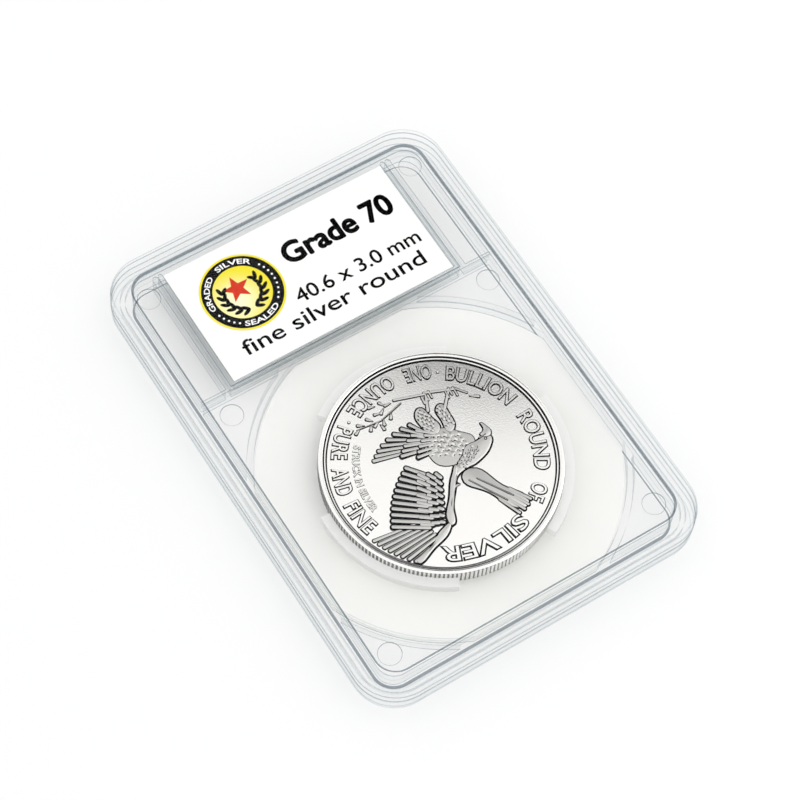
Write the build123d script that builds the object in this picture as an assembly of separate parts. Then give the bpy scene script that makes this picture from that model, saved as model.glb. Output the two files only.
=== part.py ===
from build123d import *

import os

# A sealed two-shell slab that holds one graded coin and its label.
#
# The slab lies on its back: +Z comes out of the window that shows the label's
# print, +Y runs along the slab towards the label, and the origin is the centre
# of the outline on the plane that the back rim rests on. All sizes are in mm.

# Outline of the closed slab.
slab_width = 64.5
slab_length = 90.5
slab_thickness = 7.2
outline_corner = 7.5
outer_round = 1.1
wall_draft_deg = 1.5

# Raised rim, sunk window and hollow inside, the same on both shells.
rim_width = 4.0
window_recess = 0.55
window_thickness = 1.1
rim_inner_bevel = 0.4
hollow_inset = 3.9
hollow_corner = 3.1
seam_bevel = 0.15
seam_gap = 0.03

# Tongue of the front shell in the groove of the back shell.
groove_inset = 1.55
groove_width = 0.95
groove_depth = 1.2
tongue_clearance = 0.1

# Coin and the holder it sits in.
coin_diameter = 40.6
coin_thickness = 2.98
coin_rim_width = 0.9
coin_rim_height = 0.15
coin_centre_y = -12.95
holder_radius = 30.45
holder_floor = 0.6
holder_window_radius = 18.6
holder_gap = 0.25
prong_count = 3
prong_span_deg = 70
prong_width = 1.6
prong_height = 1.8
prong_clearance = 0.15
well_ring_radius = 30.75
well_ring_width = 1.15
well_ring_height = 2.3

# Label card, the frame it rests on and the ribs round it.
card_width = 43.1
card_length = 23.5
card_bottom_y = 17.0
card_thickness = 0.35
card_bed_height = 3.2
card_bed_width = 1.3
card_overhang = 0.2
rib_gap = 0.1
locating_rib_width = 0.8
locating_rib_foot = 0.45
locating_rib_bottom = 0.4
locating_rib_gap = 0.15
pocket_rib_width = 1.0
divider_width = 0.5
rib_end_gap = 0.45

# Round foil seal stuck on the card.
seal_diameter = 14.7
seal_thickness = 0.08
seal_x = -11.7
seal_y = 30.9

# Six low round pads inside the front window, where the mould's ejector pins push.
pad_diameter = 4.0
pad_height = 0.2
pad_bevel = 0.08
pad_places = [(25.95, 37.6), (25.2, 11.7), (25.45, -37.4)]

# Heights and half sizes worked out from the above.
seam_z = slab_thickness / 2
floor_z = window_recess + window_thickness
ceiling_z = slab_thickness - floor_z
hollow_half_width = slab_width / 2 - hollow_inset
hollow_half_length = slab_length / 2 - hollow_inset
coin_radius = coin_diameter / 2
coin_bottom_z = floor_z + holder_floor
card_bottom_z = floor_z + card_bed_height
card_top_y = card_bottom_y + card_length
locating_inner_x = card_width / 2 + locating_rib_gap
pocket_inner_x = locating_inner_x + locating_rib_width + rib_gap
rib_top_y = hollow_half_length - rib_end_gap
locating_bottom_y = card_bottom_y - rib_gap - locating_rib_foot
divider_bottom_y = locating_bottom_y - rib_gap - divider_width


def slab_outline(inset, corner):
    """The slab's outline drawn smaller by an inset on every side."""
    return RectangleRounded(slab_width - 2 * inset, slab_length - 2 * inset, corner)


def plate(sketch, bottom_z, top_z):
    """A flat-topped solid between two heights."""
    return extrude(Pos(0, 0, bottom_z) * sketch, top_z - bottom_z)


def block(x_low, x_high, y_low, y_high, bottom_z, top_z):
    """A plain box between its limits."""
    size = (x_high - x_low, y_high - y_low, top_z - bottom_z)
    middle = ((x_low + x_high) / 2, (y_low + y_high) / 2, (bottom_z + top_z) / 2)
    return Pos(*middle) * Box(*size)


def post(x, y, radius, bottom_z, top_z):
    """An upright cylinder."""
    return Pos(x, y, (bottom_z + top_z) / 2) * Cylinder(radius, top_z - bottom_z)


def round_coin(radius, bottom_z, top_z):
    """An upright cylinder on the coin's axis."""
    return post(0, coin_centre_y, radius, bottom_z, top_z)


def both_sides(places):
    """The listed places and their mirror images in the slab's long centre plane."""
    return [(side * x, y) for x, y in places for side in (-1, 1)]


def edges_at(solid, height, half_width):
    """Edges lying flat at a height, inside or on a loop of the given half width."""
    chosen = []
    for edge in solid.edges():
        box = edge.bounding_box()
        flat = abs(box.min.Z - height) < 1e-4 and abs(box.max.Z - height) < 1e-4
        reach = max(abs(box.min.X), abs(box.max.X))
        if flat and reach < half_width + 1e-3:
            chosen.append(edge)
    return chosen


def bare_half(land_z):
    """The back half of the case up to its seam land, without its inside features."""
    outside = extrude(Pos(0, 0, land_z) * slab_outline(0, outline_corner), -land_z, taper=wall_draft_deg)
    outside = fillet(outside.faces().sort_by(Axis.Z)[0].edges(), outer_round)
    outside = chamfer(outside.faces().sort_by(Axis.Z)[-1].edges(), seam_bevel)
    window = plate(slab_outline(rim_width, outline_corner - rim_width), 0, window_recess)
    hollow = plate(slab_outline(hollow_inset, hollow_corner), floor_z, land_z)
    half = outside - window - hollow
    rim_edges = edges_at(half, 0, slab_width / 2 - rim_width)
    return chamfer(rim_edges, rim_inner_bevel)


def seam_ring(inset, width, bottom_z, top_z):
    """A closed band that follows the outline at an inset."""
    outer = slab_outline(inset, outline_corner - inset)
    inner = slab_outline(inset + width, outline_corner - inset - width)
    return plate(outer - inner, bottom_z, top_z)


def well_ring():
    """Low round wall of the coin well, cut off by the hollow's sides and the divider."""
    ring = round_coin(well_ring_radius + well_ring_width, floor_z, floor_z + well_ring_height)
    ring = ring - round_coin(well_ring_radius, floor_z, floor_z + well_ring_height)
    limit = block(-hollow_half_width, hollow_half_width, -hollow_half_length, divider_bottom_y,
                  floor_z, ceiling_z)
    return ring & limit


def u_rib(inner_x, side_width, foot_low_y, foot_high_y, bottom_z, top_z):
    """A rib on three sides of the label: two upright sides with round ends, and a foot."""
    outer_x = inner_x + side_width
    foot = block(-outer_x, outer_x, foot_low_y, foot_high_y, bottom_z, top_z)
    side_top_y = rib_top_y - side_width / 2
    rib = foot
    for side in (-1, 1):
        low_x, high_x = sorted((side * inner_x, side * outer_x))
        rib += block(low_x, high_x, foot_low_y, side_top_y, bottom_z, top_z)
        rib += post((low_x + high_x) / 2, side_top_y, side_width / 2, bottom_z, top_z)
    return rib


def card_bed():
    """Upright frame under the border of the label card, a little smaller than the card."""
    middle_y = (card_bottom_y + card_top_y) / 2
    outer_width = card_width - 2 * card_overhang
    outer_length = card_length - 2 * card_overhang
    outer = Pos(0, middle_y) * Rectangle(outer_width, outer_length)
    inner = Pos(0, middle_y) * Rectangle(outer_width - 2 * card_bed_width,
                                         outer_length - 2 * card_bed_width)
    return plate(outer - inner, floor_z, card_bottom_z)


def back_shell():
    """Clear rear shell with the groove, coin well and label pocket."""
    rib_top_z = ceiling_z - rib_gap
    shell = bare_half(seam_z)
    shell -= seam_ring(groove_inset, groove_width, seam_z - groove_depth, seam_z)
    shell += well_ring()
    shell += card_bed()
    shell += u_rib(pocket_inner_x, pocket_rib_width, divider_bottom_y,
                   divider_bottom_y + divider_width, floor_z, rib_top_z)
    shell += block(-hollow_half_width, hollow_half_width, divider_bottom_y,
                   divider_bottom_y + divider_width, floor_z, rib_top_z)
    return shell


def front_shell():
    """Clear front shell with the tongue, pads and the rib that locates the card."""
    shell = mirror(bare_half(seam_z - seam_gap), Plane.XY.offset(seam_z))
    shell += seam_ring(groove_inset + tongue_clearance, groove_width - 2 * tongue_clearance,
                       seam_z - groove_depth + tongue_clearance, seam_z + seam_gap)
    shell += u_rib(locating_inner_x, locating_rib_width, locating_bottom_y,
                   locating_bottom_y + locating_rib_foot, floor_z + locating_rib_bottom, ceiling_z)
    for x, y in both_sides(pad_places):
        pad = post(x, y, pad_diameter / 2, ceiling_z - pad_height, ceiling_z)
        shell += chamfer(pad.edges().group_by(Axis.Z)[0], pad_bevel)
    return shell


def coin_holder():
    """Frosted insert: a floor with a round window and three prongs that grip the coin."""
    body = round_coin(holder_radius, floor_z, coin_bottom_z)
    body &= block(-hollow_half_width + holder_gap, hollow_half_width - holder_gap,
                  -hollow_half_length + holder_gap, divider_bottom_y - holder_gap,
                  floor_z, coin_bottom_z)
    prong_inner = coin_radius + prong_clearance
    prong_top_z = coin_bottom_z + prong_height
    upright = (Align.NONE, Align.NONE, Align.MIN)
    for number in range(prong_count):
        start_deg = 90 + number * 360 / prong_count - prong_span_deg / 2
        sector = Cylinder(prong_inner + prong_width, prong_top_z - floor_z, prong_span_deg, align=upright)
        sector = Pos(0, coin_centre_y, floor_z) * Rot(0, 0, start_deg) * sector
        body += sector - round_coin(prong_inner, floor_z, prong_top_z)
    return body - round_coin(holder_window_radius, floor_z, prong_top_z)


def coin():
    """Round coin with a raised rim on both faces."""
    top_z = coin_bottom_z + coin_thickness
    field_radius = coin_radius - coin_rim_width
    blank = round_coin(coin_radius, coin_bottom_z, top_z)
    blank -= round_coin(field_radius, coin_bottom_z, coin_bottom_z + coin_rim_height)
    return blank - round_coin(field_radius, top_z - coin_rim_height, top_z)


def label_card():
    """Paper card on the bed, between the locating ribs."""
    return block(-card_width / 2, card_width / 2, card_bottom_y, card_top_y,
                 card_bottom_z, card_bottom_z + card_thickness)


def foil_seal():
    """Thin round foil sticker on the card."""
    bottom_z = card_bottom_z + card_thickness
    return post(seal_x, seal_y, seal_diameter / 2, bottom_z, bottom_z + seal_thickness)


nodes = {
    "back_shell": back_shell,
    "front_shell": front_shell,
    "coin_holder": coin_holder,
    "coin": coin,
    "label_card": label_card,
    "foil_seal": foil_seal,
}

os.makedirs("parts", exist_ok=True)
for node_name, make_shape in nodes.items():
    export_step(make_shape(), f"parts/{node_name}.step")
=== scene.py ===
import math

import bmesh
import bpy
from mathutils import Matrix, Vector


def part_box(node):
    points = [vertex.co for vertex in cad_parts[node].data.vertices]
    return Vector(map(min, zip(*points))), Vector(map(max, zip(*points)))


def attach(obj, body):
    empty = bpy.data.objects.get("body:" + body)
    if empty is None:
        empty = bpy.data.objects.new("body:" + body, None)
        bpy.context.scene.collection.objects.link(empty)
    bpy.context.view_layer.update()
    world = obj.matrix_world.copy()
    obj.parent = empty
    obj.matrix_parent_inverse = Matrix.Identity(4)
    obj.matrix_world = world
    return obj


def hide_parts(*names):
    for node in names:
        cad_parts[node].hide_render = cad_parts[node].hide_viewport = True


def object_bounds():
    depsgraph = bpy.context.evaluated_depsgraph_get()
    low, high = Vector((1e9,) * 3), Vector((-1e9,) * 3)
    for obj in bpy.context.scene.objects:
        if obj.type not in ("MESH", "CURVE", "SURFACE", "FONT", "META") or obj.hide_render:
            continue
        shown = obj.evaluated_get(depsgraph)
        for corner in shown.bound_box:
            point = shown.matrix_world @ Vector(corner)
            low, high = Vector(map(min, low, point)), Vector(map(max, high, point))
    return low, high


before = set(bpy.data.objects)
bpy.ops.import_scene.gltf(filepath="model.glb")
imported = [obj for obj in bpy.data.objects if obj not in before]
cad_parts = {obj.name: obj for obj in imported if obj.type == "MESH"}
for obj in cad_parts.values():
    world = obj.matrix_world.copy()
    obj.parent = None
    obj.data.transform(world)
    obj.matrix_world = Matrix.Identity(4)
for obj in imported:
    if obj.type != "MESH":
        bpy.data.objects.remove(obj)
cad_low, cad_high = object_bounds()
scene = bpy.context.scene
mm = 0.001

# ---------------------------------------------------------------------------
# Camera
# A long lens on a high stand looks down at the slab from its lower left corner.
# The slab lies on its back on the table, and the camera is rolled a little.
# ---------------------------------------------------------------------------
view_target = Vector((0.2, 0.1, 5.0)) * mm
view_azimuth_deg = 232.1
view_elevation_deg = 62.26
view_roll_deg = 6.3
view_distance = 450.1 * mm
lens_length = 122.4


def direction(azimuth_deg, elevation_deg):
    """Unit vector towards an azimuth, measured from +X, and an elevation above the table."""
    azimuth = math.radians(azimuth_deg)
    elevation = math.radians(elevation_deg)
    flat = math.cos(elevation)
    return Vector((flat * math.cos(azimuth), flat * math.sin(azimuth), math.sin(elevation)))


towards_camera = direction(view_azimuth_deg, view_elevation_deg)
camera_data = bpy.data.cameras.new("camera")
camera_data.lens = lens_length
camera_data.clip_start = 0.01
camera = bpy.data.objects.new("camera", camera_data)
turn = towards_camera.to_track_quat("Z", "Y").to_matrix().to_4x4()
roll = Matrix.Rotation(math.radians(view_roll_deg), 4, "Z")
camera.matrix_world = Matrix.Translation(view_target + towards_camera * view_distance) @ turn @ roll
scene.collection.objects.link(camera)
scene.camera = camera


# ---------------------------------------------------------------------------
# Clear shells
# Two injection-moulded halves of clear polystyrene, welded together with sound
# along the seam. Polished moulds leave them glassy, with a faint blue cast where a
# ray runs a long way through the wall; seen edge on, a wall's grey-blue is painted shade.
# ---------------------------------------------------------------------------
plastic_tint = "fefefe"
plastic_edge_painted_shade = "9aa6ad"
rim_shadow_tint = "f3f4f4"
# Painted refraction: grey tones by the slope of a face, and grey lines by height on upright walls.
refraction_painted_tones = [(0.0, "fdfefe"), (0.2, "ffffff"), (0.4, "ffffff"), (0.6, "f5f7f8"), (0.695, "f5f7f8"),
               (0.702, "a3abb1"), (0.712, "a3abb1"), (0.72, "f5f7f8"), (0.85, "fcfdfd"), (0.95, "ffffff")]
wall_painted_line_tones = [(0.0, "ffffff"), (0.225, "ffffff"), (0.235, "ccd3d7"), (0.262, "ccd3d7"), (0.272, "ffffff"),
              (0.485, "ffffff"), (0.492, "dde2e5"), (0.51, "dde2e5"), (0.517, "ffffff"),
              (0.71, "ffffff"), (0.72, "c3cacf"), (0.755, "c3cacf"), (0.768, "ffffff")]
rim_width = 4.0 * mm
edge_on_start = 0.15
edge_on_power = 6.0
gloss_roughness = 0.03
gloss_power = 8.0
gloss_facing = 0.006
gloss_grazing = 0.6
flow_wave_size = 9 * mm
flow_wave_height = 0.004 * mm


def colour(hex_code):
    """Linear colour of an sRGB hex value."""
    shares = [int(hex_code[start:start + 2], 16) / 255 for start in (0, 2, 4)]
    linear = [share / 12.92 if share <= 0.04045 else ((share + 0.055) / 1.055) ** 2.4 for share in shares]
    return (linear[0], linear[1], linear[2], 1.0)


def add_node(tree, kind, settings, inputs):
    """A node with its settings, and each input set to a value or joined to another node's output."""
    node = tree.nodes.new(kind)
    for name, value in settings.items():
        setattr(node, name, value)
    for name, value in inputs.items():
        if isinstance(value, bpy.types.NodeSocket):
            tree.links.new(value, node.inputs[name])
        else:
            node.inputs[name].default_value = value
    return node


def new_material(name):
    """An empty material with its node tree."""
    material = bpy.data.materials.new(name)
    material.use_nodes = True
    material.node_tree.nodes.clear()
    return material, material.node_tree


def dress(node_name, material):
    """Give a CAD node its material."""
    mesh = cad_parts[node_name].data
    mesh.materials.clear()
    mesh.materials.append(material)


# Clear polystyrene, moulded: straight-through clear, a little gloss that grows at grazing
# angles, and painted grey-blue shade where a wall is seen edge on. Bevels and rounds bend the
# view sideways into the plastic; that bent light is painted as a tone that follows their slope
# and draws fine grey lines. The foot and the top of an upright wall are slightly rounded, and
# the line this draws is painted at those heights too.
clear_polystyrene, tree = new_material("clear_polystyrene")
place = add_node(tree, "ShaderNodeTexCoord", {}, {})
waves = add_node(tree, "ShaderNodeTexNoise", {}, {
    "Vector": place.outputs["Object"], "Scale": 1 / flow_wave_size, "Detail": 1.0})
wavy = add_node(tree, "ShaderNodeBump", {}, {
    "Strength": 1.0, "Distance": flow_wave_height, "Height": waves.outputs["Fac"]})
slant = add_node(tree, "ShaderNodeLayerWeight", {}, {"Blend": 0.5, "Normal": wavy.outputs["Normal"]})
# Painted shade: the clear tint turns grey-blue as a face turns edge on.
edge = add_node(tree, "ShaderNodeMapRange", {}, {
    "Value": slant.outputs["Facing"], "From Min": edge_on_start})
edge_on = add_node(tree, "ShaderNodeMath", {"operation": "POWER"}, {
    0: edge.outputs["Result"], 1: edge_on_power})
edge_on_painted_shade = add_node(tree, "ShaderNodeMix", {"data_type": "RGBA"}, {
    0: edge_on.outputs["Value"], 6: colour(plastic_tint), 7: colour(plastic_edge_painted_shade)})
normal = add_node(tree, "ShaderNodeSeparateXYZ", {}, {"Vector": place.outputs["Normal"]})
slope = add_node(tree, "ShaderNodeMath", {"operation": "ABSOLUTE"}, {0: normal.outputs["Z"]})
# Painted refraction: the slope of a face picks a grey tone, drawing lines on bevels and rounds.
refraction_painted = add_node(tree, "ShaderNodeValToRGB", {}, {"Fac": slope.outputs["Value"]})
spot = add_node(tree, "ShaderNodeSeparateXYZ", {}, {"Vector": place.outputs["Object"]})
upright = add_node(tree, "ShaderNodeMath", {"operation": "LESS_THAN"}, {0: slope.outputs["Value"], 1: 0.5})
# Painted refraction lines: upright walls are tinted grey at set heights.
level = add_node(tree, "ShaderNodeMapRange", {}, {"Value": spot.outputs["Z"], "From Max": cad_high.z})
height_painted_lines = add_node(tree, "ShaderNodeValToRGB", {}, {"Fac": level.outputs["Result"]})
for ramp, tones in ((refraction_painted, refraction_painted_tones), (height_painted_lines, wall_painted_line_tones)):
    for position, tone in tones:
        ramp.color_ramp.elements.new(position).color = colour(tone)
    ramp.color_ramp.elements.remove(ramp.color_ramp.elements[0])
wall = add_node(tree, "ShaderNodeMix", {"data_type": "RGBA"}, {
    0: upright.outputs["Value"], 6: (1, 1, 1, 1), 7: height_painted_lines.outputs["Color"]})
tint = add_node(tree, "ShaderNodeMix", {"data_type": "RGBA", "blend_type": "MULTIPLY"}, {
    0: 1.0, 6: edge_on_painted_shade.outputs[2], 7: refraction_painted.outputs["Color"]})
lined = add_node(tree, "ShaderNodeMix", {"data_type": "RGBA", "blend_type": "MULTIPLY"}, {
    0: 1.0, 6: tint.outputs[2], 7: wall.outputs[2]})
clear = add_node(tree, "ShaderNodeBsdfTransparent", {}, {"Color": lined.outputs[2]})
gloss = add_node(tree, "ShaderNodeBsdfGlossy", {}, {
    "Color": (1, 1, 1, 1), "Roughness": gloss_roughness, "Normal": wavy.outputs["Normal"]})
steep = add_node(tree, "ShaderNodeMath", {"operation": "POWER"}, {
    0: slant.outputs["Facing"], 1: gloss_power})
shine = add_node(tree, "ShaderNodeMapRange", {}, {
    "Value": steep.outputs["Value"], "To Min": gloss_facing, "To Max": gloss_grazing})
plastic = add_node(tree, "ShaderNodeMixShader", {}, {
    "Fac": shine.outputs["Result"], 1: clear.outputs["BSDF"], 2: gloss.outputs["BSDF"]})
# Flat faces let light straight through, and the upright walls of the rim throw a soft shadow.
across = add_node(tree, "ShaderNodeMath", {"operation": "ABSOLUTE"}, {0: spot.outputs["X"]})
along = add_node(tree, "ShaderNodeMath", {"operation": "ABSOLUTE"}, {0: spot.outputs["Y"]})
over_side = add_node(tree, "ShaderNodeMath", {"operation": "GREATER_THAN"}, {
    0: across.outputs["Value"], 1: cad_high.x - rim_width})
over_end = add_node(tree, "ShaderNodeMath", {"operation": "GREATER_THAN"}, {
    0: along.outputs["Value"], 1: cad_high.y - rim_width})
in_rim = add_node(tree, "ShaderNodeMath", {"operation": "MAXIMUM"}, {
    0: over_side.outputs["Value"], 1: over_end.outputs["Value"]})
in_wall = add_node(tree, "ShaderNodeMath", {"operation": "MULTIPLY"}, {
    0: in_rim.outputs["Value"], 1: upright.outputs["Value"]})
shadow = add_node(tree, "ShaderNodeMix", {"data_type": "RGBA"}, {
    0: in_wall.outputs["Value"], 6: colour(plastic_tint), 7: colour(rim_shadow_tint)})
passing = add_node(tree, "ShaderNodeBsdfTransparent", {}, {"Color": shadow.outputs[2]})
ray = add_node(tree, "ShaderNodeLightPath", {}, {})
soft_light = add_node(tree, "ShaderNodeMath", {"operation": "MAXIMUM"}, {
    0: ray.outputs["Is Shadow Ray"], 1: ray.outputs["Is Diffuse Ray"]})
choice = add_node(tree, "ShaderNodeMixShader", {}, {
    "Fac": soft_light.outputs["Value"], 1: plastic.outputs["Shader"], 2: passing.outputs["BSDF"]})
add_node(tree, "ShaderNodeOutputMaterial", {}, {"Surface": choice.outputs["Shader"]})

dress("back_shell", clear_polystyrene)
dress("front_shell", clear_polystyrene)


# ---------------------------------------------------------------------------
# Coin holder
# A thin frosted insert moulded in translucent polypropylene. It drops into the
# round well of the back shell and its three prongs hold the coin by its edge.
# ---------------------------------------------------------------------------
insert_floor = "f5f5f3"
prong_top_painted_light = "ffffff"
insert_painted_glow = 0.17
prong_painted_light_fade = 0.8 * mm
frost_grain = 0.35 * mm
frost_depth = 0.03 * mm
through_share = 0.35
through_share_light = 0.9

# Natural polypropylene from a spark-eroded mould: milky and slightly warm, with a fine frost.
# Light spreads inside it and its thin floor shows the table faintly; a painted glow lifts its
# tone, and the prong tops are painted whiter as painted light.
frosted_polypropylene, tree = new_material("frosted_polypropylene")
place = add_node(tree, "ShaderNodeTexCoord", {}, {})
frost = add_node(tree, "ShaderNodeTexNoise", {}, {
    "Vector": place.outputs["Object"], "Scale": 1 / frost_grain, "Detail": 3.0})
frosty = add_node(tree, "ShaderNodeBump", {}, {
    "Strength": 0.35, "Distance": frost_depth, "Height": frost.outputs["Fac"]})
sheen = add_node(tree, "ShaderNodeMapRange", {}, {
    "Value": frost.outputs["Fac"], "To Min": 0.42, "To Max": 0.58})
spot = add_node(tree, "ShaderNodeSeparateXYZ", {}, {"Vector": place.outputs["Object"]})
holder_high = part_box("coin_holder")[1]
# Painted light: the prong tops fade to a whiter tone, which also glows.
raised = add_node(tree, "ShaderNodeMapRange", {}, {
    "Value": spot.outputs["Z"], "From Min": holder_high.z - prong_painted_light_fade, "From Max": holder_high.z})
milk_and_painted_light = add_node(tree, "ShaderNodeMix", {"data_type": "RGBA"}, {
    0: raised.outputs["Result"], 6: colour(insert_floor), 7: colour(prong_top_painted_light)})
# Painted glow: the plastic gives off a little light in its own colour.
skin = add_node(tree, "ShaderNodeBsdfPrincipled", {}, {
    "Base Color": milk_and_painted_light.outputs[2], "Roughness": sheen.outputs["Result"], "IOR": 1.49,
    "Emission Color": milk_and_painted_light.outputs[2], "Emission Strength": insert_painted_glow,
    "Normal": frosty.outputs["Normal"]})
glow = add_node(tree, "ShaderNodeBsdfTranslucent", {}, {
    "Color": milk_and_painted_light.outputs[2], "Normal": frosty.outputs["Normal"]})
milky = add_node(tree, "ShaderNodeMixShader", {}, {
    "Fac": 0.4, 1: skin.outputs["BSDF"], 2: glow.outputs["BSDF"]})
passing = add_node(tree, "ShaderNodeBsdfTransparent", {}, {"Color": colour("fbfbfa")})
ray = add_node(tree, "ShaderNodeLightPath", {}, {})
soft_light = add_node(tree, "ShaderNodeMath", {"operation": "MAXIMUM"}, {
    0: ray.outputs["Is Shadow Ray"], 1: ray.outputs["Is Diffuse Ray"]})
veil = add_node(tree, "ShaderNodeMapRange", {}, {
    "Value": soft_light.outputs["Value"], "To Min": through_share, "To Max": through_share_light})
thin = add_node(tree, "ShaderNodeMixShader", {}, {
    "Fac": veil.outputs["Result"], 1: milky.outputs["Shader"], 2: passing.outputs["BSDF"]})
add_node(tree, "ShaderNodeOutputMaterial", {}, {"Surface": thin.outputs["Shader"]})

dress("coin_holder", frosted_polypropylene)


# ---------------------------------------------------------------------------
# Coin
# A one ounce round struck in fine silver: a reeded edge, a raised rim with a
# fine step inside it, and a lightly domed satin field.
# ---------------------------------------------------------------------------
coin_low, coin_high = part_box("coin")
coin_centre = (coin_low + coin_high) / 2
coin_radius = (coin_high.x - coin_low.x) / 2
coin_half_height = (coin_high.z - coin_low.z) / 2
reed_count = 180
reed_depth = 0.14 * mm
field_rise = 0.3 * mm
field_sink = 0.62 * mm
field_radius = 18.75 * mm
field_rings = 16
frost_size = 0.25 * mm
frost_height = 0.016 * mm
shade_mottle_size = 0.8 * mm
rim_bank_inset = 0.5 * mm


def field_height(radius):
    """Height of the domed field above the coin's mid plane."""
    share = radius / field_radius
    return coin_half_height - field_sink + field_rise * (1 - share * share)


def smooth_mesh(name, build, sharp_deg, material):
    """Turn a bmesh into a shaded object whose edges stay crisp past an angle."""
    bmesh.ops.recalc_face_normals(build, faces=build.faces)
    mesh = bpy.data.meshes.new(name)
    build.to_mesh(mesh)
    build.free()
    mesh.shade_smooth()
    mesh.set_sharp_from_angle(angle=math.radians(sharp_deg))
    mesh.materials.append(material)
    piece = bpy.data.objects.new(name, mesh)
    scene.collection.objects.link(piece)
    return piece


def silver_finish(name, hex_colour, smoothest, roughest):
    """Bright silver with a fine frost that moves its roughness between two limits."""
    material, tree = new_material(name)
    place = add_node(tree, "ShaderNodeTexCoord", {}, {})
    frost = add_node(tree, "ShaderNodeTexNoise", {}, {
        "Vector": place.outputs["Object"], "Scale": 1 / frost_size, "Detail": 2.0})
    frosty = add_node(tree, "ShaderNodeBump", {}, {
        "Strength": 0.5, "Distance": frost_height, "Height": frost.outputs["Fac"]})
    satin = add_node(tree, "ShaderNodeMapRange", {}, {
        "Value": frost.outputs["Fac"], "To Min": smoothest, "To Max": roughest})
    metal = add_node(tree, "ShaderNodeBsdfPrincipled", {}, {
        "Base Color": colour(hex_colour), "Metallic": 1.0, "Roughness": satin.outputs["Result"],
        "Normal": frosty.outputs["Normal"]})
    add_node(tree, "ShaderNodeOutputMaterial", {}, {"Surface": metal.outputs["BSDF"]})
    return material


# Fine silver, struck between polished dies and left satin: neutral white metal whose frost
# blurs the room. The grain is drawn coarser than real, so that it shows. The bird's die was
# blasted, so the bird comes out duller, and its silver is painted darker as painted shade.
struck_silver = silver_finish("struck_silver", "f8f7f4", 0.12, 0.2)
frosted_shaded_silver = silver_finish("frosted_shaded_silver", "cbcac7", 0.28, 0.4)


def shaded_finish(name, hex_dark, hex_light):
    """Near-black silver painted on as shade, with a faint random mottle."""
    material, tree = new_material(name)
    place = add_node(tree, "ShaderNodeTexCoord", {}, {})
    shade_mottle = add_node(tree, "ShaderNodeTexNoise", {}, {
        "Vector": place.outputs["Object"], "Scale": 1 / shade_mottle_size, "Detail": 2.0})
    tone = add_node(tree, "ShaderNodeMix", {"data_type": "RGBA"}, {
        0: shade_mottle.outputs["Fac"], 6: colour(hex_dark), 7: colour(hex_light)})
    metal = add_node(tree, "ShaderNodeBsdfPrincipled", {}, {
        "Base Color": tone.outputs[2], "Metallic": 1.0, "Roughness": 0.45})
    add_node(tree, "ShaderNodeOutputMaterial", {}, {"Surface": metal.outputs["BSDF"]})
    return material


# Painted shade: the banks of the design are painted nearly black, and one flank of each reed a middle grey.
shaded_silver = shaded_finish("shaded_silver", "08080a", "1c1c1e")
reed_flank_shade = shaded_finish("reed_flank_shade", "77787a", "9a9b9c")

# The blank is spun from half its section: domed field, stepped bank, flat rim, rounded edge.
rim_profile = [
    (field_radius, -field_sink),
    (field_radius + 0.27 * mm, -field_sink + 0.3 * mm),
    (field_radius + 0.47 * mm, -field_sink + 0.32 * mm),
    (field_radius + 0.74 * mm, -0.03 * mm),
    (field_radius + 0.82 * mm, 0),
    (coin_radius - 0.26 * mm, 0),
    (coin_radius - 0.08 * mm, -0.06 * mm),
    (coin_radius, -0.2 * mm),
]
upper = []
for ring in range(field_rings):
    radius = field_radius * ring / field_rings
    upper.append((radius, field_height(radius)))
upper += [(radius, coin_half_height + drop) for radius, drop in rim_profile]
lower = [(radius, -height) for radius, height in reversed(upper)]
blank = bmesh.new()
profile = [blank.verts.new((radius, 0, height)) for radius, height in upper + lower]
edges = [blank.edges.new(pair) for pair in zip(profile, profile[1:])]
bmesh.ops.spin(blank, geom=profile + edges, cent=(0, 0, 0), axis=(0, 0, 1),
               angle=math.tau, steps=2 * reed_count, use_merge=True)
bmesh.ops.remove_doubles(blank, verts=blank.verts, dist=0.002 * mm)
half_step = math.tau / (2 * reed_count)
grooves = []
for vert in blank.verts:
    on_edge = abs(vert.co.xy.length - coin_radius) < 0.01 * mm
    step = round(math.atan2(vert.co.y, vert.co.x) / half_step)
    if on_edge and step % 2:
        grooves.append(vert)
reed_scale = 1 - reed_depth / coin_radius
bmesh.ops.scale(blank, vec=(reed_scale, reed_scale, 1), verts=grooves)
bmesh.ops.translate(blank, vec=coin_centre, verts=blank.verts)
coin_blank = smooth_mesh("coin_blank", blank, 25, struck_silver)
coin_blank.data.materials.append(shaded_silver)
coin_blank.data.materials.append(reed_flank_shade)
# Painted shade: steep faces of the rim's inner bank get the near-black shaded silver.
for face in coin_blank.data.polygons:
    from_axis = (face.center - coin_centre).xy
    around = Vector((-from_axis.y, from_axis.x)).normalized()
    steepness = abs(face.normal.z)
    if from_axis.length < coin_radius - rim_bank_inset and steepness < 0.8:
        face.material_index = coin_blank.data.materials.find("shaded_silver")
    # Painted shade: one flank of each reed is painted a middle grey.
    elif steepness < 0.3 and face.normal.xy.dot(around) > 0.1:
        face.material_index = coin_blank.data.materials.find("reed_flank_shade")
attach(coin_blank, "coin")
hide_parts("coin")


# ---------------------------------------------------------------------------
# Struck design
# The design rises from the same blank: a legend round the edge, and a bird of
# prey coming down to a branch, each form cut in the die with steep banks.
# ---------------------------------------------------------------------------
bank_width = 0.42 * mm
bank_sink = 0.05 * mm
crown_inset_share = 0.6
leaf_bank_width = 0.8 * bank_width
leaf_bank_share = 0.25
feather_crown = 0.03 * mm
plume_height = 0.1
plume_reach = 1.25
plume_row_pitch = 0.62
plume_column_pitch = 0.8
plume_ruffle_deg = 22
plume_taper = 0.2
plume_tilt_deg = 11.0
dark_bank_limit = 0.95


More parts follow.
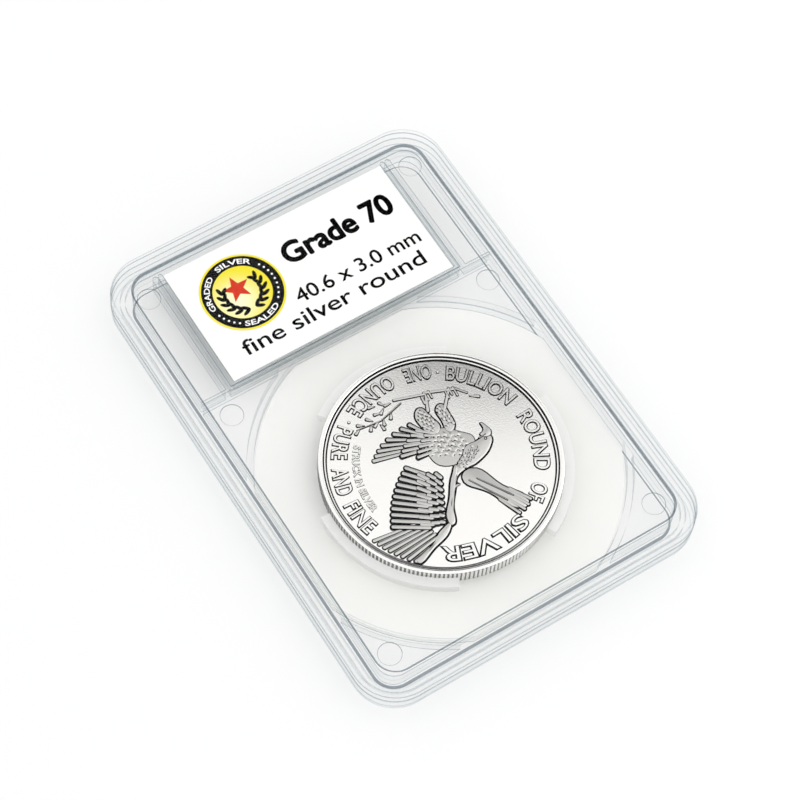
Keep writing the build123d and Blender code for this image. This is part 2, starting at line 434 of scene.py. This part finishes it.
def join_in(target, part, matrix):
    """Move a small bmesh into place and add it to a larger one."""
    held = bpy.data.meshes.new("held")
    part.to_mesh(held)
    part.free()
    held.transform(matrix)
    target.from_mesh(held)
    bpy.data.meshes.remove(held)


def corner_verts(faces):
    """Every vertex of the faces, once."""
    return list({vert for face in faces for vert in face.verts})


def raise_form(form, bank, height, crown):
    """Lift a flat face into a struck form, with a steep bank all round and a soft crown."""
    tops = form.faces[:]
    bmesh.ops.inset_region(form, faces=tops, thickness=bank, use_even_offset=True, use_boundary=True)
    bmesh.ops.translate(form, vec=(0, 0, height - crown), verts=corner_verts(tops))
    bmesh.ops.inset_region(form, faces=tops, thickness=bank * crown_inset_share,
                           use_even_offset=True, use_boundary=True)
    bmesh.ops.translate(form, vec=(0, 0, crown), verts=corner_verts(tops))
    open_edges = [edge for edge in form.edges if edge.is_boundary]
    bmesh.ops.holes_fill(form, edges=open_edges, sides=0)


def drape(design):
    """Set a design made on a flat plane on the domed field, bent to the dome."""
    for vert in design.verts:
        vert.co.z += coin_centre.z + field_height((vert.co - coin_centre).xy.length)


def add_leaf(target, root, tip, width, height, lift=0.0, taper=0.5, tilt_deg=0.0):
    """One feather or leaf from root to tip, in mm, narrower at the root, with its tip tilted up."""
    along = Vector(tip) - Vector(root)
    straight = max(0.0, 0.5 * (along.length - width)) * mm
    leaf = bmesh.new()
    bmesh.ops.create_circle(leaf, cap_ends=True, segments=14, radius=0.5 * width * mm)
    front = [vert for vert in leaf.verts if vert.co.x > 0]
    rear = [vert for vert in leaf.verts if vert.co.x <= 0]
    bmesh.ops.translate(leaf, vec=(straight, 0, 0), verts=front)
    bmesh.ops.translate(leaf, vec=(-straight, 0, 0), verts=rear)
    bank = min(leaf_bank_width, leaf_bank_share * width * mm)
    raise_form(leaf, bank, height * mm + bank_sink, feather_crown)
    root_half = [vert for vert in leaf.verts if vert.co.x < 0]
    bmesh.ops.scale(leaf, vec=(1, 1 - taper, 1), verts=root_half)
    middle = (Vector(root) + Vector(tip)) / 2
    place = Vector((coin_centre.x + middle.x * mm, coin_centre.y + middle.y * mm, lift * mm - bank_sink))
    turn = Matrix.Rotation(math.atan2(along.y, along.x), 4, "Z")
    tilt = Matrix.Rotation(math.radians(-tilt_deg), 4, "Y")
    join_in(target, leaf, Matrix.Translation(place) @ turn @ tilt)


def add_fan(target, roots, tips, count, width, height, lift, bow, step, taper, tilt_deg=0.0):
    """A row of feathers from a line of roots to a line of tips, each lying a step over the last."""
    for number in range(count):
        share = number / (count - 1)
        root = Vector(roots[0]).lerp(Vector(roots[1]), share)
        tip = Vector(tips[0]).lerp(Vector(tips[1]), share)
        out = (tip - root).normalized() * bow * math.sin(math.pi * share)
        add_leaf(target, root, tip + out, width, height, lift + step * number, taper, tilt_deg)


def add_form(target, outline, height, lift=0.0, crown=0.04, bank=bank_width):
    """A smooth struck form inside a closed curve through a few points, in mm."""
    line = bpy.data.curves.new("outline", "CURVE")
    line.resolution_u = 6
    spline = line.splines.new("BEZIER")
    spline.bezier_points.add(len(outline) - 1)
    spline.use_cyclic_u = True
    for point, (x, y) in zip(spline.bezier_points, outline):
        point.co = (x * mm, y * mm, 0)
        point.handle_left_type = "AUTO"
        point.handle_right_type = "AUTO"
    held = bpy.data.objects.new("outline", line)
    scene.collection.objects.link(held)
    bpy.context.view_layer.update()
    loop = bpy.data.meshes.new_from_object(held)
    bpy.data.objects.remove(held)
    form = bmesh.new()
    form.from_mesh(loop)
    bpy.data.meshes.remove(loop)
    bmesh.ops.remove_doubles(form, verts=form.verts, dist=0.001 * mm)
    bmesh.ops.contextual_create(form, geom=form.edges[:])
    raise_form(form, bank, height * mm + bank_sink, crown * mm)
    join_in(target, form, Matrix.Translation((coin_centre.x, coin_centre.y, lift * mm - bank_sink)))


def add_plumage(target, centre, radii, turn_deg, point_deg, size, lift, crown):
    """Small overlapping feathers over an oval of the bird's body, lifted in the middle."""
    turn = Matrix.Rotation(math.radians(turn_deg), 2)
    reach = Matrix.Rotation(math.radians(point_deg), 2) @ Vector((size * plume_reach, 0))
    rows = int(2 * radii[1] / (size * plume_row_pitch))
    columns = int(2 * radii[0] / (size * plume_column_pitch))
    for row in range(rows + 1):
        for column in range(columns + 1):
            across = (column + 0.5 * (row % 2)) / columns * 2 - 1
            up = row / rows * 2 - 1
            spread = across * across + up * up
            if spread < 1:
                spot = Vector(centre) + turn @ Vector((across * radii[0], up * radii[1]))
                height = lift + crown * math.sqrt(1 - spread)
                ruffle = math.radians(plume_ruffle_deg) * math.sin(5.3 * spot.x + 3.1 * spot.y)
                half = Matrix.Rotation(ruffle, 2) @ reach / 2
                add_leaf(target, spot - half, spot + half, size, plume_height, height,
                         plume_taper, plume_tilt_deg)


# The bird, in mm from the coin's axis. Each fan gives its roots, tips, count, width, height,
# lift, bow, step, taper and tilt.
bird = bmesh.new()
# Far wing: long feathers spread like fingers, with shorter rows over their roots.
add_fan(bird, [(-0.8, 3.4), (0.8, 5.4)], [(-10.0, 5.9), (-1.2, 8.8)], 8, 1.3, 0.13, 0.0, 1.2, 0.008, 0.5)
add_fan(bird, [(0.4, 2.8), (1.6, 5.0)], [(-5.6, 4.2), (-0.9, 7.2)], 6, 1.25, 0.12, 0.06, 0.5, 0.004, 0.4, 1.6)
add_fan(bird, [(1.0, 2.0), (1.8, 4.4)], [(-3.4, 2.6), (-0.2, 5.6)], 5, 1.15, 0.1, 0.1, 0.3, 0.004, 0.3, 2.4)
# Near wing: primaries, secondaries, then three rows of coverts.
add_fan(bird, [(-8.6, -7.4), (-7.0, -11.6)], [(-17.5, -6.3), (-13.6, -13.0)],
        8, 1.15, 0.13, 0.0, 0.4, 0.006, 0.4)
add_fan(bird, [(-3.2, -1.2), (-7.6, -9.4)], [(-6.0, 2.4), (-13.6, -5.6)],
        11, 1.3, 0.13, 0.03, 0.8, 0.008, 0.1)
add_fan(bird, [(-3.4, -2.2), (-6.8, -9.2)], [(-4.8, 0.4), (-9.4, -7.6)], 8, 1.35, 0.13, 0.1, 0.4, 0.004, 0.1)
add_fan(bird, [(-2.4, -2.6), (-5.8, -9.4)], [(-3.5, -0.4), (-7.8, -8.4)], 8, 1.3, 0.13, 0.14, 0.3, 0.004, 0.1)
add_fan(bird, [(-1.6, -3.0), (-5.2, -9.8)], [(-2.2, -1.0), (-6.4, -8.9)], 8, 1.2, 0.13, 0.18, 0.2, 0.002, 0.1)
# Tail: one long form with raised shafts, and four feather tips past its end.
add_form(bird, [(0.9, -4.2), (3.6, -3.2), (6.6, -8.6), (8.9, -13.0), (7.9, -14.2), (5.9, -13.6),
                (3.4, -9.0)], 0.14)
add_fan(bird, [(4.3, -10.2), (6.7, -9.4)], [(6.1, -14.7), (9.1, -13.5)],
        4, 1.0, 0.13, 0.06, 0.3, 0.0, 0.2, 1.0)
add_leaf(bird, (1.9, -5.0), (5.6, -11.6), 0.6, 0.1, 0.12, 0.3)
add_leaf(bird, (3.2, -5.4), (6.9, -11.4), 0.6, 0.1, 0.12, 0.3)
# Legs, covered in short feathers.
add_form(bird, [(1.2, 4.4), (0.2, 7.0), (0.7, 9.9), (2.4, 10.5), (3.3, 8.0), (3.4, 5.0)], 0.14)
add_form(bird, [(3.8, 3.6), (3.7, 6.4), (4.2, 9.0), (5.9, 9.3), (6.3, 6.8), (5.4, 3.8)], 0.14)
add_plumage(bird, (1.9, 7.4), (1.3, 2.6), 0, 100, 1.0, 0.08, 0.02)
add_plumage(bird, (5.0, 6.6), (1.0, 2.4), 0, 85, 1.0, 0.08, 0.02)
# Breast, covered in rows of feathers.
add_form(bird, [(-1.4, 0.8), (0.2, 4.6), (3.4, 5.4), (5.6, 3.4), (7.2, 0.9), (4.6, -1.4),
                (0.6, -1.6)], 0.08, crown=0.01, bank=0.3 * mm)
add_plumage(bird, (2.4, 2.3), (4.0, 2.6), -28, 160, 1.3, 0.0, 0.05)
# Back, neck and head in one smooth form, with the beak over it and feathers down the neck.
add_form(bird, [(-0.4, -4.9), (0.6, -2.6), (3.4, -0.4), (4.8, 0.6), (7.4, 0.6), (9.0, 1.0), (9.9, -0.2),
                (9.0, -1.8), (5.2, -3.5), (2.4, -3.6), (0.9, -4.0)], 0.2)
add_form(bird, [(7.9, 0.9), (8.9, 1.5), (9.3, 2.9), (10.1, 1.7), (10.2, 0.4), (9.2, -0.3)], 0.24,
         bank=0.16 * mm)
add_plumage(bird, (4.4, -1.5), (3.0, 1.2), 22, 200, 0.9, 0.1, 0.03)
# Eye and brow.
add_leaf(bird, (8.2, -0.3), (8.8, -0.1), 0.62, 0.1, 0.22, 0.0)
add_leaf(bird, (7.4, 0.4), (9.1, 0.5), 0.4, 0.1, 0.21, 0.0)
# Leading edge of the near wing: upper arm, then the hand out to the tip.
add_form(bird, [(1.9, -1.5), (0.4, -4.4), (-2.2, -7.6), (-4.7, -11.0), (-5.3, -9.8), (-2.6, -5.8),
                (0.0, -2.6)], 0.24)
add_form(bird, [(-4.4, -10.0), (-4.9, -11.1), (-9.0, -12.8), (-13.4, -13.3), (-9.6, -11.6),
                (-6.4, -9.9)], 0.22)
# Feet on the branch.
for x, y in ((3.4, 11.0), (4.2, 11.3), (5.0, 11.4), (7.4, 9.9), (8.2, 10.2), (8.9, 9.6)):
    add_leaf(bird, (x, y - 0.9), (x + 0.2, y + 1.0), 0.62, 0.26, 0.0, 0.0)
add_leaf(bird, (2.9, 8.6), (4.4, 11.8), 0.85, 0.24, 0.0, 0.0)
add_leaf(bird, (5.4, 7.6), (8.2, 10.6), 0.85, 0.24, 0.0, 0.0)
# Branch with its leaves.
add_leaf(bird, (-1.0, 13.7), (4.6, 11.8), 0.7, 0.24, 0.0, 0.0)
add_leaf(bird, (4.0, 12.3), (9.4, 10.1), 0.7, 0.24, 0.0, 0.0)
add_leaf(bird, (8.8, 10.9), (10.7, 8.4), 0.65, 0.22, 0.0, 0.0)
add_leaf(bird, (10.4, 8.0), (12.2, 6.8), 1.0, 0.18)
add_leaf(bird, (0.2, 12.6), (-4.6, 11.4), 0.45, 0.2, 0.0, 0.0)
add_leaf(bird, (-4.2, 11.4), (-9.0, 12.0), 0.4, 0.2, 0.0, 0.0)
branch_leaves = [
    (-1.2, 13.4, 175), (-2.4, 13.3, 120), (-2.8, 13.3, 215), (-3.6, 12.6, 165), (-4.0, 11.7, 250),
    (-4.8, 11.6, 205), (-5.6, 11.9, 130), (-6.2, 11.8, 235), (-7.2, 12.0, 150), (-8.2, 12.0, 205),
    (-2.2, 12.0, 235), (-5.0, 11.1, 275), (-3.8, 14.2, 165),
]
for x, y, turn_deg in branch_leaves:
    tip = Vector((x, y)) + Matrix.Rotation(math.radians(turn_deg), 2) @ Vector((1.7, 0))
    add_leaf(bird, (x, y), tip, 1.0, 0.19)

# Legend: words in two rings, standing on the field with sloped sides.
font_capital = 0.729
merge_distance = 0.0004
outer_ring = 15.3
inner_ring = 18.05


def lettering(words, height, weight, half_depth, bevel):
    """Mesh of a line of words with a given capital height, centred on its own plane."""
    scale = height / font_capital
    text = bpy.data.curves.new("lettering", "FONT")
    text.body = words
    text.size = 1.0
    text.offset = weight - bevel / scale
    text.extrude = half_depth / scale
    text.bevel_depth = bevel / scale
    text.bevel_resolution = 0
    text.resolution_u = 4
    holder = bpy.data.objects.new("lettering", text)
    scene.collection.objects.link(holder)
    bpy.context.view_layer.update()
    flat = bpy.data.meshes.new_from_object(holder)
    bpy.data.objects.remove(holder)
    build = bmesh.new()
    build.from_mesh(flat)
    bpy.data.meshes.remove(flat)
    bmesh.ops.remove_doubles(build, verts=build.verts, dist=merge_distance)
    bmesh.ops.scale(build, vec=(scale, scale, scale), verts=build.verts)
    return build


def stretch(build, width):
    """Move a line of words to start at x = 0 and scale it to a width."""
    values = [vert.co.x for vert in build.verts]
    low, high = min(values), max(values)
    bmesh.ops.translate(build, vec=(-low, 0, 0), verts=build.verts)
    bmesh.ops.scale(build, vec=(width / (high - low), 1, 1), verts=build.verts)


def bent_words(words, start_deg, end_deg, radius, height, weight, half_depth, bevel):
    """Words bent round the origin, with tops outwards if the angle falls and inwards if it rises."""
    build = lettering(words, height * mm, weight, half_depth * mm, bevel * mm)
    span = math.radians(end_deg - start_deg)
    middle = radius + (0.5 * height if span < 0 else -0.5 * height)
    stretch(build, abs(span) * middle * mm)
    way = 1 if span > 0 else -1
    for vert in build.verts:
        angle = math.radians(start_deg) + way * vert.co.x / (middle * mm)
        reach = radius * mm - way * vert.co.y
        vert.co.x = reach * math.cos(angle)
        vert.co.y = reach * math.sin(angle)
    return build


def add_arc(target, words, start_deg, end_deg, radius, height=2.7, rise=0.19):
    """A struck word standing on the coin's field."""
    build = bent_words(words, start_deg, end_deg, radius, height, 0.05, 0.03, rise)
    join_in(target, build, Matrix.Translation((coin_centre.x, coin_centre.y, 0)))


legend = bmesh.new()
outer_words = [("BULLION", 55, 12), ("ROUND", 3, -36), ("OF", -44, -56), ("SILVER", -68, -124)]
inner_words = [("ONE", 63, 79), ("OUNCE", 86, 118), ("PURE", 127, 148), ("AND", 153, 170),
               ("FINE", 175, 196)]
for words, start_deg, end_deg in outer_words:
    add_arc(legend, words, start_deg, end_deg, outer_ring)
for words, start_deg, end_deg in inner_words:
    add_arc(legend, words, start_deg, end_deg, inner_ring)
add_arc(legend, "STRUCK IN SILVER", 137, 188, 14.6, 1.2, 0.07)
# Two dots between the words.
legend_dot_ring = 16.7
for angle_deg in (59.5, 123.5):
    spot = legend_dot_ring * Vector((math.cos(math.radians(angle_deg)), math.sin(math.radians(angle_deg))))
    add_leaf(legend, spot - Vector((0.35, 0)), spot + Vector((0.35, 0)), 0.7, 0.18, 0.0, 0.0)

# Reverse: a laurel wreath round twelve rays, struck on the face that looks to the rear window.
reverse = bmesh.new()
add_arc(reverse, "ONE OUNCE FINE SILVER", 190, -10, outer_ring)
add_arc(reverse, "STRUCK ROUND", 222, 318, inner_ring)
wreath_radius = 11.6
for side in (-1, 1):
    for number in range(13):
        around = math.radians(-78 + 11.5 * number)
        outward = Vector((side * math.cos(around), math.sin(around)))
        ahead = Vector((-side * math.sin(around), math.cos(around)))
        root = outward * wreath_radius
        for lean in (1.3, -1.3):
            add_leaf(reverse, root, root + 1.9 * ahead + lean * outward, 1.15, 0.18, 0.03)
for number in range(12):
    around = math.radians(30 * number)
    ray = Vector((math.cos(around), math.sin(around)))
    add_leaf(reverse, ray * 3.4, ray * 8.4, 1.5, 0.18, 0.0, 0.6)
add_form(reverse, [(2.4, 0), (0, 2.4), (-2.4, 0), (0, -2.4)], 0.22)
for design in (bird, legend, reverse):
    drape(design)
half_turn = Matrix.Rotation(math.pi, 4, "X")
bmesh.ops.transform(reverse, verts=reverse.verts,
                    matrix=Matrix.Translation(coin_centre) @ half_turn @ Matrix.Translation(-coin_centre))


def bank_faces(piece, steepness):
    """Give every face steeper than a limit the shaded silver, as painted shade."""
    piece.data.materials.append(shaded_silver)
    for face in piece.data.polygons:
        if abs(face.normal.z) < steepness:
            face.material_index = 1


coin_bird = smooth_mesh("coin_bird", bird, 35, frosted_shaded_silver)
coin_legend = smooth_mesh("coin_legend", legend, 30, struck_silver)
coin_reverse = smooth_mesh("coin_reverse", reverse, 35, struck_silver)
for piece in (coin_bird, coin_legend, coin_reverse):
    bank_faces(piece, dark_bank_limit)
    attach(piece, "coin")


# ---------------------------------------------------------------------------
# Label card
# A white card cut from coated paper and printed in black. It lies on the upright
# frame in the back shell and shows through the front window.
# ---------------------------------------------------------------------------
card_top_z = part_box("label_card")[1].z
fibre_cloud_size = 0.6 * mm
ink_mottle_size = 0.4 * mm
ink_thickness = 0.012 * mm

# Coated paper, calendered: bright white with a faint cloud of fibres and a soft sheen.
coated_paper, tree = new_material("coated_paper")
place = add_node(tree, "ShaderNodeTexCoord", {}, {})
fibres = add_node(tree, "ShaderNodeTexNoise", {}, {
    "Vector": place.outputs["Object"], "Scale": 1 / fibre_cloud_size, "Detail": 4.0})
cloud = add_node(tree, "ShaderNodeMix", {"data_type": "RGBA"}, {
    0: fibres.outputs["Fac"], 6: colour("f3f3f2"), 7: colour("fafaf9")})
felt = add_node(tree, "ShaderNodeBump", {}, {
    "Strength": 0.15, "Distance": 0.01 * mm, "Height": fibres.outputs["Fac"]})
paper = add_node(tree, "ShaderNodeBsdfPrincipled", {}, {
    "Base Color": cloud.outputs[2], "Roughness": 0.5, "IOR": 1.5, "Normal": felt.outputs["Normal"]})
add_node(tree, "ShaderNodeOutputMaterial", {}, {"Surface": paper.outputs["BSDF"]})
dress("label_card", coated_paper)

# Offset ink: a thin black film, a little glossier than the paper, with slight mottle.
black_ink, tree = new_material("black_ink")
place = add_node(tree, "ShaderNodeTexCoord", {}, {})
mottle = add_node(tree, "ShaderNodeTexNoise", {}, {
    "Vector": place.outputs["Object"], "Scale": 1 / ink_mottle_size, "Detail": 2.0})
tone = add_node(tree, "ShaderNodeMix", {"data_type": "RGBA"}, {
    0: mottle.outputs["Fac"], 6: colour("030304"), 7: colour("0a0a0b")})
ink = add_node(tree, "ShaderNodeBsdfPrincipled", {}, {
    "Base Color": tone.outputs[2], "Roughness": 0.4, "IOR": 1.5, "Specular IOR Level": 0.06})
add_node(tree, "ShaderNodeOutputMaterial", {}, {"Surface": ink.outputs["BSDF"]})


# Each line of print: words, left and right ends, baseline and capital height in mm, and how far
# the ink spreads, which thickens the strokes.
label_lines = [
    ("Grade 70", -2.1, 19.1, 31.5, 4.2, 0.2),
    ("40.6 x 3.0 mm", -4.4, 19.8, 24.1, 2.8, 0.04),
    ("fine silver round", -17.2, 18.3, 20.0, 3.0, 0.04),
]
label_print = bmesh.new()
for words, left, right, baseline, height, spread in label_lines:
    for turn_deg in range(0, 360, 45):
        line = lettering(words, height * mm, 0.0, ink_thickness, 0.0)
        stretch(line, (right - left) * mm)
        over = spread * math.cos(math.radians(turn_deg))
        up = spread * math.sin(math.radians(turn_deg))
        place = Vector(((left + over) * mm, (baseline + up) * mm, card_top_z))
        join_in(label_print, line, Matrix.Translation(place))
label_lettering = smooth_mesh("label_lettering", label_print, 30, black_ink)
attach(label_lettering, "label_card")


# ---------------------------------------------------------------------------
# Foil seal
# A round sticker die-cut from gold foil, with a black printed band and a black
# and red emblem, pressed on to the card by hand.
# ---------------------------------------------------------------------------
seal_low, seal_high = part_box("foil_seal")
seal_centre = (seal_low + seal_high) / 2
painted_highlight_centre = (seal_centre.x - 1.6 * mm, seal_centre.y - 1.2 * mm, seal_high.z)
painted_highlight_inner = 0.3 * mm
painted_highlight_outer = 6.5 * mm
ripple_size = 3 * mm
print_mottle_size = 0.5 * mm
band_radius = 7.0 * mm
band_width = 1.9 * mm
dot_ring = 6.05 * mm
dot_radius = 0.2 * mm
star_radius = 2.6 * mm
star_waist = 0.42
sprig_radius = 3.5 * mm
sprig_leaf_length = 0.85 * mm
sprig_leaf_reach = 0.72 * mm

# Gold foil on paper: a warm metal film, smooth but never quite flat, printed with a
# yellow lacquer; a painted highlight pales it towards a spot just below and left of the middle.
gold_foil, tree = new_material("gold_foil")
place = add_node(tree, "ShaderNodeTexCoord", {}, {})
# Painted highlight: the lacquer pales toward a spot just off the middle.
from_painted_highlight = add_node(tree, "ShaderNodeVectorMath", {"operation": "DISTANCE"}, {
    0: place.outputs["Object"], 1: painted_highlight_centre})
painted_highlight_fade = add_node(tree, "ShaderNodeMapRange", {"interpolation_type": "SMOOTHSTEP"}, {
    "Value": from_painted_highlight.outputs["Value"], "From Min": painted_highlight_inner, "From Max": painted_highlight_outer})
lacquer_and_painted_highlight = add_node(tree, "ShaderNodeMix", {"data_type": "RGBA"}, {
    0: painted_highlight_fade.outputs["Result"], 6: colour("fffcd0"), 7: colour("f4e41c")})
ripple = add_node(tree, "ShaderNodeTexNoise", {}, {
    "Vector": place.outputs["Object"], "Scale": 1 / ripple_size, "Detail": 1.0})
rippled = add_node(tree, "ShaderNodeBump", {}, {
    "Strength": 0.3, "Distance": 0.03 * mm, "Height": ripple.outputs["Fac"]})
foil = add_node(tree, "ShaderNodeBsdfPrincipled", {}, {
    "Base Color": lacquer_and_painted_highlight.outputs[2], "Metallic": 0.1, "Roughness": 0.3,
    "Normal": rippled.outputs["Normal"]})
add_node(tree, "ShaderNodeOutputMaterial", {}, {"Surface": foil.outputs["BSDF"]})
dress("foil_seal", gold_foil)


def printed(name, hex_dark, hex_light):
    """Screen-printed ink: an even film with a faint mottle between two close tones."""
    material, tree = new_material(name)
    place = add_node(tree, "ShaderNodeTexCoord", {}, {})
    mottle = add_node(tree, "ShaderNodeTexNoise", {}, {
        "Vector": place.outputs["Object"], "Scale": 1 / print_mottle_size, "Detail": 2.0})
    tone = add_node(tree, "ShaderNodeMix", {"data_type": "RGBA"}, {
        0: mottle.outputs["Fac"], 6: colour(hex_dark), 7: colour(hex_light)})
    ink = add_node(tree, "ShaderNodeBsdfPrincipled", {}, {
        "Base Color": tone.outputs[2], "Roughness": 0.4, "Specular IOR Level": 0.15})
    add_node(tree, "ShaderNodeOutputMaterial", {}, {"Surface": ink.outputs["BSDF"]})
    return material


def lay_print(name, build, layer, material):
    """Thicken a flat print, lay it on the seal in its layer and fix it to the card."""
    flat = build.faces[:]
    raised = bmesh.ops.extrude_face_region(build, geom=flat)
    tops = [item for item in raised["geom"] if isinstance(item, bmesh.types.BMVert)]
    bmesh.ops.translate(build, vec=(0, 0, ink_thickness), verts=tops)
    place = Vector((seal_centre.x, seal_centre.y, seal_high.z + layer * ink_thickness))
    bmesh.ops.translate(build, vec=place, verts=build.verts)
    piece = smooth_mesh(name, build, 30, material)
    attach(piece, "label_card")


white_ink = printed("white_ink", "f4f4f2", "ffffff")
red_ink = printed("red_ink", "c3230f", "e0401c")

band = bmesh.new()
bmesh.ops.create_circle(band, cap_ends=True, segments=96, radius=band_radius)
middle = band.faces[:]
bmesh.ops.inset_region(band, faces=middle, thickness=band_width, use_boundary=True)
bmesh.ops.delete(band, geom=middle, context="FACES")
lay_print("seal_band", band, 0, black_ink)

seal_words = bmesh.new()
band_words = [("GRADED", 188, 122, 5.55), ("SILVER", 108, 46, 5.55), ("SEALED", 243, 309, 6.55)]
for words, start_deg, end_deg, radius in band_words:
    word = bent_words(words, start_deg, end_deg, radius, 1.0, 0.02, 0.0, 0.0)
    join_in(seal_words, word, Matrix())
for angle_deg in list(range(199, 236, 9)) + list(range(-40, 36, 9)):
    around = math.radians(angle_deg)
    dot_place = Matrix.Translation((dot_ring * math.cos(around), dot_ring * math.sin(around), 0))
    bmesh.ops.create_circle(seal_words, cap_ends=True, segments=12, radius=dot_radius, matrix=dot_place)
lay_print("seal_words", seal_words, 1, white_ink)

star = bmesh.new()
bmesh.ops.create_circle(star, cap_ends=True, segments=10, radius=star_radius)
star.verts.ensure_lookup_table()
inner_points = [vert for number, vert in enumerate(star.verts) if number % 2]
bmesh.ops.scale(star, vec=(star_waist, star_waist, 1), verts=inner_points)
bmesh.ops.transform(star, matrix=Matrix.Translation((-0.5 * mm, 1.0 * mm, 0)), verts=star.verts)
lay_print("seal_star", star, 0, red_ink)

sprigs = bmesh.new()
slim = Matrix.Diagonal((1.0, 0.4, 1, 1))
reach = Matrix.Translation((sprig_leaf_reach, 0, 0))
for side in (-1, 1):
    flip = Matrix.Diagonal((side, 1, 1, 1))
    for number in range(6):
        around = math.radians(-80 + 20 * number)
        stem = Matrix.Translation((sprig_radius * math.cos(around), sprig_radius * math.sin(around), 0))
        for lean_deg in (-32, 32):
            turn = Matrix.Rotation(around + math.radians(90 + lean_deg), 4, "Z")
            bmesh.ops.create_circle(sprigs, cap_ends=True, segments=12, radius=sprig_leaf_length,
                                    matrix=flip @ stem @ turn @ reach @ slim)
lay_print("seal_sprigs", sprigs, 0, black_ink)


# ---------------------------------------------------------------------------
# Table and light
# A plain white table under an even white dome that dims near the horizon. A dark
# card, hung high at the back, shades one side of the coin's field, and one large
# softbox lights the slab from the right.
# ---------------------------------------------------------------------------
dark_card_azimuth_deg = 50.0
dark_card_elevation_deg = 50.0
dark_card_inner_deg = 6
dark_card_outer_deg = 11.5
horizon_height = 0.05
dome_height = 0.6
horizon_tone = (0.72, 0.74, 0.76, 1)
dome_tone = (1.1, 1.1, 1.1, 1)
dark_card_tone = (0.04, 0.04, 0.045, 1)
softbox_distance = 0.9
softbox_size = 0.5
softbox_watts = 1.1

table_build = bmesh.new()
bmesh.ops.create_grid(table_build, x_segments=1, y_segments=1, size=3.0)
bmesh.ops.translate(table_build, vec=(0, 0, -0.02 * mm), verts=table_build.verts)
table_white, tree = new_material("table_white")
board = add_node(tree, "ShaderNodeBsdfPrincipled", {}, {
    "Base Color": colour("f2f2f2"), "Roughness": 0.9, "Specular IOR Level": 0.0})
add_node(tree, "ShaderNodeOutputMaterial", {}, {"Surface": board.outputs["BSDF"]})
table = smooth_mesh("table", table_build, 30, table_white)

world = bpy.data.worlds.new("studio")
world.use_nodes = True
tree = world.node_tree
tree.nodes.clear()
place = add_node(tree, "ShaderNodeTexCoord", {}, {})
parts = add_node(tree, "ShaderNodeSeparateXYZ", {}, {"Vector": place.outputs["Generated"]})
sky = add_node(tree, "ShaderNodeMapRange", {"interpolation_type": "SMOOTHSTEP"}, {
    "Value": parts.outputs["Z"], "From Min": horizon_height, "From Max": dome_height})
shade = add_node(tree, "ShaderNodeMix", {"data_type": "RGBA"}, {
    0: sky.outputs["Result"], 6: horizon_tone, 7: dome_tone})
toward_card = add_node(tree, "ShaderNodeVectorMath", {"operation": "DOT_PRODUCT"}, {
    0: place.outputs["Generated"], 1: direction(dark_card_azimuth_deg, dark_card_elevation_deg)})
card_edge = add_node(tree, "ShaderNodeMapRange", {"interpolation_type": "SMOOTHSTEP"}, {
    "Value": toward_card.outputs["Value"], "From Min": math.cos(math.radians(dark_card_outer_deg)),
    "From Max": math.cos(math.radians(dark_card_inner_deg))})
room = add_node(tree, "ShaderNodeMix", {"data_type": "RGBA"}, {
    0: card_edge.outputs["Result"], 6: shade.outputs[2], 7: dark_card_tone})
back = add_node(tree, "ShaderNodeBackground", {}, {"Color": room.outputs[2], "Strength": 1.0})
add_node(tree, "ShaderNodeOutputWorld", {}, {"Surface": back.outputs["Background"]})
scene.world = world

lamp_data = bpy.data.lights.new("softbox", "AREA")
lamp_data.shape = "SQUARE"
lamp_data.size = softbox_size
lamp_data.energy = softbox_watts
softbox = bpy.data.objects.new("softbox", lamp_data)
lamp_place = direction(-20, 55) * softbox_distance
lamp_turn = lamp_place.to_track_quat("Z", "Y").to_matrix().to_4x4()
softbox.matrix_world = Matrix.Translation(lamp_place) @ lamp_turn
scene.collection.objects.link(softbox)

scene.view_settings.view_transform = "Standard"
# The clear walls lie behind each other, so a ray may cross many of them.
scene.cycles.transparent_max_bounces = 64
